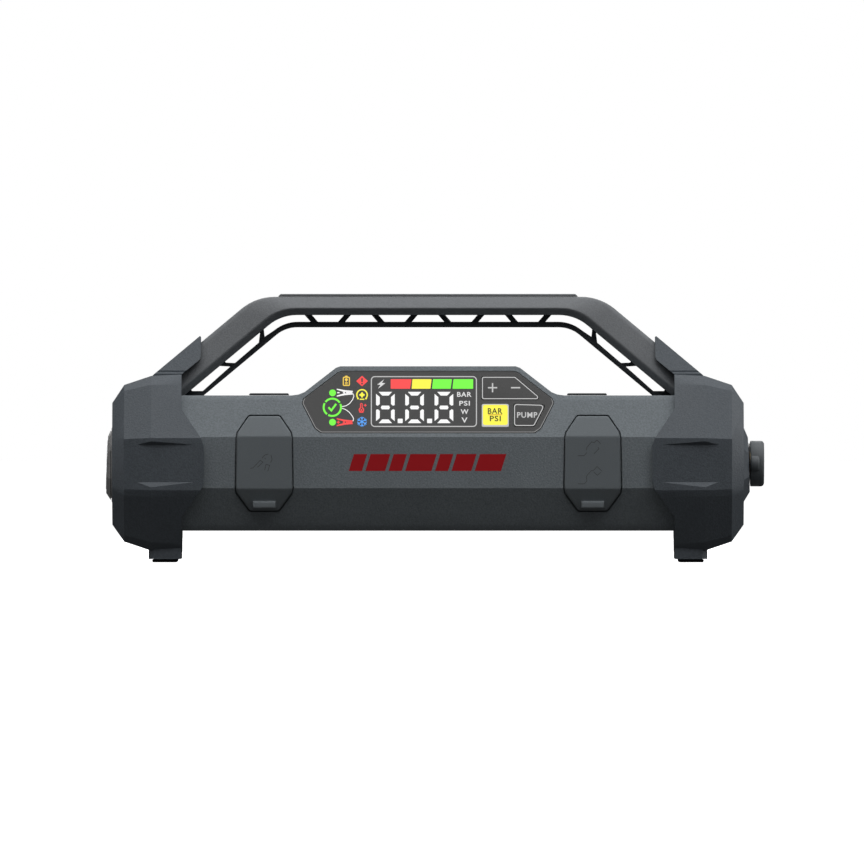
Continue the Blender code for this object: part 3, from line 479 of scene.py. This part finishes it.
def stroke(points, width, closed=False):
    """Quads along a line of points, with mitred corners."""
    count = len(points)
    sides = []
    for i in range(count):
        here = Vector(points[i])
        back = Vector(points[i - 1]) if closed or i else None
        ahead = Vector(points[(i + 1) % count]) if closed or i < count - 1 else None
        ways = []
        if back is not None:
            ways.append((here - back).normalized())
        if ahead is not None:
            ways.append((ahead - here).normalized())
        normals = [Vector((-w.y, w.x)) for w in ways]
        total = sum(normals, Vector((0.0, 0.0)))
        mitre = total / max(total.dot(normals[0]), MITRE_LIMIT)
        sides.append((here + mitre * width / 2.0, here - mitre * width / 2.0))
    quads = []
    for i in range(count if closed else count - 1):
        a, b = sides[i]
        c, d = sides[(i + 1) % count]
        quads.append([tuple(a), tuple(c), tuple(d), tuple(b)])
    return quads


def rounded(outline, radius, steps=5):
    """An outline with round corners."""
    points = []
    count = len(outline)
    for i in range(count):
        here = Vector(outline[i])
        back = (Vector(outline[i - 1]) - here).normalized()
        ahead = (Vector(outline[(i + 1) % count]) - here).normalized()
        angle = back.angle(ahead)
        reach = radius / math.tan(angle / 2.0)
        start = here + back * reach
        end = here + ahead * reach
        middle = (back + ahead).normalized() * (radius / math.sin(angle / 2.0)) + here
        first = math.atan2(start.y - middle.y, start.x - middle.x)
        turn = math.atan2(end.y - middle.y, end.x - middle.x) - first
        turn = (turn + math.pi) % (2.0 * math.pi) - math.pi
        for step in range(steps + 1):
            a = first + turn * step / steps
            points.append((middle.x + radius * math.cos(a), middle.y + radius * math.sin(a)))
    return points


def turned(outline, x, z, degrees):
    """An outline turned about a point."""
    cos = math.cos(math.radians(degrees))
    sin = math.sin(math.radians(degrees))
    found = []
    for u, v in outline:
        found.append((x + (u - x) * cos - (v - z) * sin, z + (u - x) * sin + (v - z) * cos))
    return found


def lettering(name, word, area, material, body, place, lift=OVERPRINT_LIFT):
    """A generic label that fills the area (x0, x1, z0, z1) in millimetres."""
    curve = bpy.data.curves.new(name + "_text", "FONT")
    curve.body = word
    curve.offset = LETTER_BOLD
    curve.space_character = LETTER_SPACING
    curve.resolution_u = LETTER_STEPS
    holder = bpy.data.objects.new(name + "_text", curve)
    scene.collection.objects.link(holder)
    bpy.context.view_layer.update()
    graph = bpy.context.evaluated_depsgraph_get()
    mesh = bpy.data.meshes.new_from_object(holder.evaluated_get(graph))
    bpy.data.objects.remove(holder)
    xs = [vertex.co.x for vertex in mesh.vertices]
    ys = [vertex.co.y for vertex in mesh.vertices]
    for vertex, u, v in zip(mesh.vertices, xs, ys):
        x = area[0] + (area[1] - area[0]) * (u - min(xs)) / (max(xs) - min(xs))
        z = area[2] + (area[3] - area[2]) * (v - min(ys)) / (max(ys) - min(ys))
        vertex.co = place(x, z, lift)
    placed(name, mesh, material, body)


def box_outline(x0, x1, z0, z1):
    return [(x0, z0), (x1, z0), (x1, z1), (x0, z1)]


def plus(x, z, arm, width):
    """A plus sign with arms of one length."""
    across = stroke([(x - arm, z), (x + arm, z)], width)
    upright = stroke([(x, z - arm), (x, z + arm)], width)
    return across + upright


def printed_on_case(name, outlines, material, lift=PRINT_LIFT):
    drawing(name, outlines, material, "case", on_slant, lift)


# ------------------------------------------------------------ display
def digit(x):
    """Seven segments of one figure, from its left edge."""
    t = FIGURE_BAR
    low, high = FIGURE_LOW, FIGURE_HIGH
    far = x + FIGURE_WIDTH
    mid = (low + high) / 2.0
    roof = [(x + 1.3, high), (far - 1.3, high), (far - t - 1.2, high - t), (x + t + 1.2, high - t)]
    base = [(x + 1.3, low), (far - 1.3, low), (far - t - 1.2, low + t), (x + t + 1.2, low + t)]
    middle = [
        (x + t + 0.5, mid),
        (x + t + 1.0, mid + t / 2.0),
        (far - t - 1.0, mid + t / 2.0),
        (far - t - 0.5, mid),
        (far - t - 1.0, mid - t / 2.0),
        (x + t + 1.0, mid - t / 2.0),
    ]
    upper = [(x, mid + 1.2), (x + 0.9, mid + 0.9), (x + t, mid + 1.7), (x + t, high - 2.6), (x, high - 1.0)]
    lower = [(u, 2.0 * mid - v) for u, v in upper]
    found = [roof, base, middle, upper, lower]
    for side in (upper, lower):
        found.append([(x + far - u, v) for u, v in side])
    return found


def clamp(z):
    """A jump lead clamp, handles to the left: outlines in millimetres."""
    arm = [(-45.5, 2.0), (-41.4, 1.25), (-37.5, 0.9), (-37.5, 0.35)]
    arm += [(-41.8, 0.35), (-42.7, 0.6), (-45.5, 1.45)]
    upper = [(x, z + v) for x, v in arm]
    lower = [(x, z - v) for x, v in arm]
    middle = [box_outline(-42.4, -41.4, z - 0.3, z + 0.3), box_outline(-40.9, -37.7, z - 0.3, z + 0.3)]
    return [upper, lower] + middle


def panel_border():
    """The line around the panel, fainter over the top than along the sides and below."""
    half = [(42.6, 95.25), (44.9, 94.6), (61.9, 81.6), (62.7, 79.4), (56.3, 66.9), (53.4, 64.7)]
    inner = []
    for x, z in half + [(-x, z) for x, z in reversed(half)]:
        inner.append((x * BORDER_SCALE_X, PANEL_MID_Z + (z - PANEL_MID_Z) * BORDER_SCALE_Z))
    right = [point for point in rounded(inner, 1.3) if point[0] > 0.0]
    top = [point for point in right if point[1] > BORDER_TOP_FROM]
    top.sort(key=lambda point: point[0] - point[1])
    line = [(-x, z) for x, z in reversed(top)] + top
    printed_on_case("panel_border_top", stroke(line, 0.3), FAINT_LINE)
    low = [point for point in right if point[1] <= BORDER_LOW_TO]
    low.sort(key=lambda point: -point[1])
    line = low + [(-x, z) for x, z in reversed(low)]
    printed_on_case("panel_border", stroke(line, 0.32), EDGE_LINE)


def figures():
    frame_line = rounded(box_outline(-28.25, 24.15, 67.75, 92.6), 1.7, 6)
    printed_on_case("display_frame", stroke(frame_line, 0.5, True), PALE)
    shapes = []
    for x in FIGURES_X:
        shapes += digit(x)
    for x in POINTS_X:
        square = box_outline(x, x + POINT_WIDTH, FIGURE_LOW, FIGURE_LOW + POINT_HEIGHT)
        shapes.append(rounded(square, 0.3, 3))
    printed_on_case("display_figures", shapes, WHITE)


def charge_bars():
    """Four slanted bars and the bolt before them. The x of each corner runs round from the top left."""
    bars = (
        ("bar_red", RED, (-18.6, -8.2, -8.95, -18.6)),
        ("bar_yellow", YELLOW, (-7.75, 1.8, 1.2, -8.15)),
        ("bar_green_left", GREEN, (2.55, 11.95, 11.3, 2.0)),
        ("bar_green_right", GREEN, (12.75, 22.55, 22.5, 12.2)),
    )
    for name, colour, (a, b, c, d) in bars:
        outline = [(a, CHARGE_HIGH), (b, CHARGE_HIGH), (c, CHARGE_LOW), (d, CHARGE_LOW)]
        printed_on_case(name, [rounded(outline, 0.25, 3)], colour)
    bolt = [(-21.9, 91.3), (-25.3, 88.6), (-23.7, 88.5), (-25.0, 86.5), (-21.3, 89.3), (-23.0, 89.5)]
    printed_on_case("charge_mark", [bolt], WHITE_SOFT)


def unit_labels():
    for word, area in (
        ("BAR", (14.5, 21.7, 82.5, 84.95)),
        ("PSI", (15.6, 20.9, 78.1, 80.5)),
        ("W", (16.3, 20.2, 73.9, 76.3)),
        ("V", (16.7, 19.7, 69.6, 72.2)),
    ):
        lettering("unit_" + word, word, area, WHITE_SOFT, "case", on_slant)


def lead_marks():
    """Two jump lead clamps with a dot each, their leads, and the ring that shows they are ready."""
    dots = [disc(-47.6, 84.5, 1.68), disc(-47.6, 69.86, 1.68)]
    printed_on_case("ready_dots", dots, GREEN)
    white = clamp(84.6) + [box_outline(-45.3, -44.1, 84.3, 84.9)]
    printed_on_case("clamp_white", white, WHITE)
    red = clamp(69.85) + plus(-44.7, 69.85, 0.8, 0.45)
    printed_on_case("clamp_red", red, RED)
    upper = [(-37.3, 84.1), (-37.0, 82.8), (-37.6, 81.1), (-39.1, 79.2), (-40.8, 78.05), (-42.9, 77.65)]
    lower = [(-42.9, 76.85), (-41.1, 76.2), (-39.3, 74.9), (-37.8, 73.0), (-37.1, 71.7), (-37.4, 70.4)]
    printed_on_case("lead_lines", stroke(upper, 0.38) + stroke(lower, 0.38), WHITE)
    ring = []
    for start, end in ((-118.0, 22.0), (32.0, 142.0), (152.0, 232.0)):
        ring += stroke(arc(RING_X, RING_Z, 4.32, start, end, 16), 0.95)
    tick = stroke([(-49.6, 77.3), (-48.2, 75.7), (-45.8, 79.0)], 0.95)
    printed_on_case("link_ring", ring + tick, GREEN)


def battery_mark():
    marks = stroke(rounded(box_outline(-42.25, -39.2, 88.2, 92.3), 0.4, 3), 0.5, True)
    marks += [box_outline(-41.35, -40.1, 92.5, 93.05), disc(-40.72, 91.1, 0.72, 16)]
    marks += [box_outline(-41.4, -40.05, 89.3, 89.75), box_outline(-41.4, -40.05, 88.75, 89.1)]
    marks += [box_outline(-40.95, -40.5, 90.0, 90.4)]
    printed_on_case("battery_mark", marks, ORANGE)


def alert_mark():
    diamond = [(ICON_X, 93.05), (ICON_X + 2.95, 90.4), (ICON_X, 87.75), (ICON_X - 2.95, 90.4)]
    printed_on_case("alert_mark", [rounded(diamond, 0.2, 2)], RED)
    bar = rounded(box_outline(ICON_X - 0.4, ICON_X + 0.4, 89.9, 91.9), 0.3, 3)
    printed_on_case("alert_stroke", [bar, disc(ICON_X, 89.1, 0.45, 12)], PANEL, OVERPRINT_LIFT)


def mode_mark():
    """An open ring on two feet around a plus."""
    marks = stroke(arc(ICON_X, MODE_Z, 2.6, -42.0, 222.0, 26), 0.65)
    marks += [box_outline(ICON_X - 2.4, ICON_X - 1.6, 81.3, 81.9)]
    marks += [box_outline(ICON_X + 1.6, ICON_X + 2.4, 81.3, 81.9)]
    marks += [rounded(box_outline(ICON_X - 1.2, ICON_X + 1.2, 81.0, 81.6), 0.2, 3)]
    marks += [disc(ICON_X, MODE_Z, 0.95, 20)] + plus(ICON_X, MODE_Z, 1.35, 0.7)
    printed_on_case("mode_mark", marks, YELLOW)


def heat_mark():
    """A thermometer and a small plus."""
    marks = [disc(HEAT_X, HEAT_Z, 1.35, 20)]
    marks += [rounded(box_outline(HEAT_X - 0.65, HEAT_X + 0.6, 76.4, 79.4), 0.55, 4)]
    marks += [rounded(box_outline(HEAT_X - 1.0, HEAT_X + 1.0, 74.6, 75.4), 0.2, 3)]
    marks += plus(-31.3, 78.3, 0.7, 0.42)
    printed_on_case("heat_mark", marks, RED)
    hollow = [disc(HEAT_X, HEAT_Z, 0.8, 16), box_outline(HEAT_X - 0.2, HEAT_X + 0.2, 76.3, 79.0)]
    printed_on_case("heat_hollow", hollow, PANEL, OVERPRINT_LIFT)
    printed_on_case("heat_drop", [disc(HEAT_X, 75.9, 0.45, 12)], RED, TOP_PRINT_LIFT)


def cold_mark():
    """A snowflake of three crossing arms."""
    arm = stroke([(ICON_X, COLD_Z - 2.5), (ICON_X, COLD_Z + 2.5)], 0.42)
    for way in (1.0, -1.0):
        fork = COLD_Z + 1.5 * way
        tip = fork + 0.7 * way
        arm += stroke([(ICON_X - 0.9, tip), (ICON_X, fork), (ICON_X + 0.9, tip)], 0.36)
    flake = []
    for turn in (0.0, 60.0, 120.0):
        flake += [turned(quad, ICON_X, COLD_Z, turn) for quad in arm]
    printed_on_case("cold_mark", flake, BLUE)


def display():
    panel_border()
    figures()
    charge_bars()
    unit_labels()
    lead_marks()
    battery_mark()
    alert_mark()
    mode_mark()
    heat_mark()
    cold_mark()


def key_outline(name, outline, radius, body, lift):
    line = rounded(outline, radius)
    drawing(name, stroke(line, LINE_WIDTH, True), PALE, body, on_slant, lift)


def rocker_marks():
    outline = [(27.15, 92.2), (43.4, 92.2), (54.9, 82.45), (54.35, 81.5), (27.15, 81.5)]
    key_outline("plus_minus_line", outline, 0.75, "plus_minus_rocker", KEY_LIFT)
    sign = plus(32.2, 87.0, 2.3, KEY_MARK_WIDTH)
    drawing("plus_mark", sign, PALE, "plus_minus_rocker", on_slant, KEY_LIFT)
    sign = stroke([(41.4, 87.0), (46.0, 87.0)], KEY_MARK_WIDTH)
    drawing("minus_mark", sign, PALE, "plus_minus_rocker", on_slant, KEY_LIFT)


def unit_key_marks():
    body = "bar_psi_button"
    outline = box_outline(27.15, 39.95, 68.15, 78.65)
    key_outline("bar_psi_line", outline, 1.3, body, KEY_TOP_LIFT)
    face = rounded(box_outline(27.2, 39.9, 68.2, 78.6), 1.3)
    drawing("bar_psi_face", [face], YELLOW, body, on_slant, KEY_LIFT)
    lettering("bar_label", "BAR", (29.8, 37.1, 73.9, 76.8), DARK, body, on_slant, KEY_TOP_LIFT)
    lettering("psi_label", "PSI", (30.8, 36.3, 70.2, 73.0), DARK, body, on_slant, KEY_TOP_LIFT)
    rule = stroke([(30.0, 73.45), (37.0, 73.45)], 0.34)
    drawing("label_rule", rule, RULE, body, on_slant, KEY_TOP_LIFT)


def pump_key_marks():
    outline = [(43.15, 78.65), (57.95, 78.2), (52.75, 68.15), (43.15, 68.15)]
    key_outline("pump_line", outline, 1.2, "pump_button", KEY_LIFT)
    area = (44.4, 54.5, 72.0, 74.8)
    lettering("pump_label", "PUMP", area, PALE, "pump_button", on_slant, KEY_LIFT)


def stripe_mark():
    """A generic red stripe mark in the middle of the front."""
    bars = []
    x = 0.0
    for width in STRIPE_WIDTHS:
        bars.append((x, x + width))
        x += width + STRIPE_GAP
    scale = STRIPE_SPAN / (bars[-1][1] + STRIPE_SLANT)
    slant = STRIPE_SLANT * scale
    outlines = []
    for start, end in bars:
        left = STRIPE_START + start * scale
        right = STRIPE_START + end * scale
        low = [(left, STRIPE_LOW), (right, STRIPE_LOW)]
        outlines.append(low + [(right + slant, STRIPE_HIGH), (left + slant, STRIPE_HIGH)])
    drawing("stripe_mark", outlines, BADGE, "case", on_front, STRIPE_LIFT)


# ------------------------------------------------------------ stage
def light(name, place, aim, size, power):
    lamp = bpy.data.lights.new(name, "AREA")
    lamp.energy = power
    lamp.size = size
    holder = bpy.data.objects.new(name, lamp)
    holder.location = place
    holder.rotation_mode = "QUATERNION"
    holder.rotation_quaternion = (Vector(aim) - Vector(place)).to_track_quat("-Z", "Y")
    scene.collection.objects.link(holder)


def front_camera():
    """A long lens, level with the middle of the object."""
    data = bpy.data.cameras.new("camera")
    data.sensor_width = SENSOR
    data.lens = SENSOR * CAMERA_FAR / CAMERA_SPAN
    data.clip_end = CAMERA_CLIP
    camera = bpy.data.objects.new("camera", data)
    camera.location = (CAMERA_X, -CAMERA_FAR, CAMERA_Z)
    camera.rotation_euler = (math.radians(90.0), 0.0, 0.0)
    scene.collection.objects.link(camera)
    scene.camera = camera


def backdrop():
    """A world that the camera sees as plain white, and that lights the object only faintly."""
    world = bpy.data.worlds.new("studio")
    world.use_nodes = True
    nodes = world.node_tree.nodes
    links = world.node_tree.links
    faint = nodes["Background"]
    faint.inputs["Color"].default_value = (1.0, 1.0, 1.0, 1.0)
    faint.inputs["Strength"].default_value = WORLD_GLOW
    seen = nodes.new("ShaderNodeBackground")
    seen.inputs["Color"].default_value = (1.0, 1.0, 1.0, 1.0)
    path = nodes.new("ShaderNodeLightPath")
    choice = nodes.new("ShaderNodeMixShader")
    links.new(path.outputs["Is Camera Ray"], choice.inputs[0])
    links.new(faint.outputs[0], choice.inputs[1])
    links.new(seen.outputs[0], choice.inputs[2])
    links.new(choice.outputs[0], nodes["World Output"].inputs["Surface"])
    scene.world = world


def floor():
    """A plain white disc. It lights nothing and shows in no reflection."""
    white, _, shader = new_material("stage_white")
    shader.inputs["Base Color"].default_value = (0.9, 0.9, 0.9, 1.0)
    shader.inputs["Roughness"].default_value = 0.9
    shader.inputs["Emission Color"].default_value = (1.0, 1.0, 1.0, 1.0)
    shader.inputs["Emission Strength"].default_value = 1.0
    work = bmesh.new()
    bmesh.ops.create_circle(work, cap_ends=True, segments=64, radius=FLOOR_RADIUS)
    mesh = bpy.data.meshes.new("floor")
    work.to_mesh(mesh)
    work.free()
    mesh.materials.append(white)
    stage = bpy.data.objects.new("floor", mesh)
    stage.location.z = -FLOOR_DROP
    scene.collection.objects.link(stage)
    stage.visible_diffuse = False
    stage.visible_glossy = False


def studio():
    front_camera()
    for name, place, aim, size, power in LAMPS:
        light(name, place, aim, size, power)
    backdrop()
    floor()


# ------------------------------------------------------------ moulded marks on the covers, drawn as painted shade
def moulded_mark(name, lines, width, body):
    # dark strokes laid on the cover: painted shade of the moulded grooves
    quads = []
    for line in lines:
        quads += stroke(line, width)
    drawing(name, quads, GROOVE_SHADE, body, on_cover, GROOVE_SHADE_LIFT)


def cover_marks():
    """A clamp on the left cover, a round plug and a flat plug on the right one, drawn as dark strokes of
    painted shade in moulded grooves.
    """
    clamp_lines = [
        [(-88.5, 46.9), (-87.3, 47.1), (-85.7, 48.7), (-83.6, 50.9), (-82.2, 50.0), (-85.0, 47.4)],
        [(-82.7, 51.9), (-81.4, 53.5), (-79.5, 54.1)],
        [(-78.2, 53.5), (-77.7, 51.3), (-78.4, 49.7)],
        [(-81.4, 52.1), (-80.9, 51.5)],
        [(-81.4, 45.9), (-80.7, 48.9), (-78.9, 48.4), (-79.8, 45.4)],
    ]
    moulded_mark("clamp_mark", clamp_lines, 0.3, "jump_cover")
    plug_lines = [
        [(74.7, 53.2), (77.7, 53.2), (79.1, 54.7)],
        [(79.0, 56.0), (79.1, 57.2), (81.5, 60.1), (82.8, 59.7), (84.2, 61.0), (86.0, 59.2)],
        [(84.7, 57.4), (85.2, 56.7), (82.6, 54.1)],
    ]
    moulded_mark("plug_mark", plug_lines, 0.32, "power_cover")
    usb_lines = [
        [(74.7, 39.2), (77.9, 39.2), (79.2, 40.6), (78.9, 42.6), (79.4, 43.6), (81.5, 45.8)],
        [(81.5, 45.8), (82.3, 45.7), (84.2, 47.8), (86.8, 45.4)],
        [(82.6, 45.0), (84.4, 43.4), (86.0, 44.9)],
    ]
    moulded_mark("usb_mark", usb_lines, 0.28, "power_cover")


# ------------------------------------------------------------ the whole
display()
rocker_marks()
unit_key_marks()
pump_key_marks()
stripe_mark()
cover_marks()

softened("front_shell", "case", 0.7, SHELL, SHELL_EDGE, weighted=True)
softened("rear_shell", "case", 0.7, SHELL, SHELL_EDGE, weighted=True)
softened("left_cap", "case", 0.7, CAP, CAP_EDGE, crisp=True, weighted=True)
softened("right_cap", "case", 0.7, CAP, CAP_EDGE, crisp=True, weighted=True)
softened("handle", "case", 0.8, HANDLE, HANDLE_EDGE, weighted=True)
softened("handle_truss", "case", 0.3, TRUSS_SHADE, TRUSS_SHADE, 1)
softened("grip_pad", "case", 0.4, GRIP, GRIP)
softened("jump_port_cover", "jump_cover", 0.3, COVER, COVER_SHADED_EDGE, weighted=True)
softened("power_port_cover", "power_cover", 0.3, COVER, COVER_SHADED_EDGE, weighted=True)
softened("plus_minus_key", "plus_minus_rocker", 0.15, KEY, KEY)
softened("bar_psi_key", "bar_psi_button", 0.15, PALE, PALE)
softened("pump_key", "pump_button", 0.15, KEY, KEY)
softened("outlet_cap", "screw_cap", 0.35, KNOB, KNOB)
softened("lamp_bezel", "case", 0.4, BEZEL, BEZEL)
softened("lamp_lens", "case", 0.3, LENS, LENS)
for side in ("left", "right"):
    softened("top_vent_" + side, "case", 0.2, VENT, VENT, 1)
    for end in ("front", "rear"):
        softened("foot_pad_" + end + "_" + side, "case", 0.25, FOOT, FOOT)

PLAIN = {
    "display_panel": PANEL,
    "display_window": GLASS,
    "display_module": INNER,
    "display_board": BOARD,
    "main_board": BOARD,
    "port_board": BOARD,
    "jump_socket": SOCKET,
    "charge_socket": SOCKET,
    "usb_socket": STEEL,
    "jump_contact_left": BRASS,
    "jump_contact_right": BRASS,
    "outlet_fitting": BRASS,
    "outlet_seal": SEAL,
    "outlet_hose": SEAL,
    "lamp_reflector": CHROME,
    "lamp_board": LAMP_BOARD,
    "battery_tray": INNER,
    "battery_cell_1": FOIL,
    "battery_cell_2": FOIL,
    "battery_cell_3": FOIL,
    "pump_motor": STEEL,
    "motor_pinion": BRASS,
    "crank_gear": NYLON,
    "compressor_block": ALLOY,
    "compressor_head": ALLOY,
}
for node, material in PLAIN.items():
    dress(node, material)
for number in range(1, 7):
    dress("case_screw_" + str(number), SCREW)

studio()
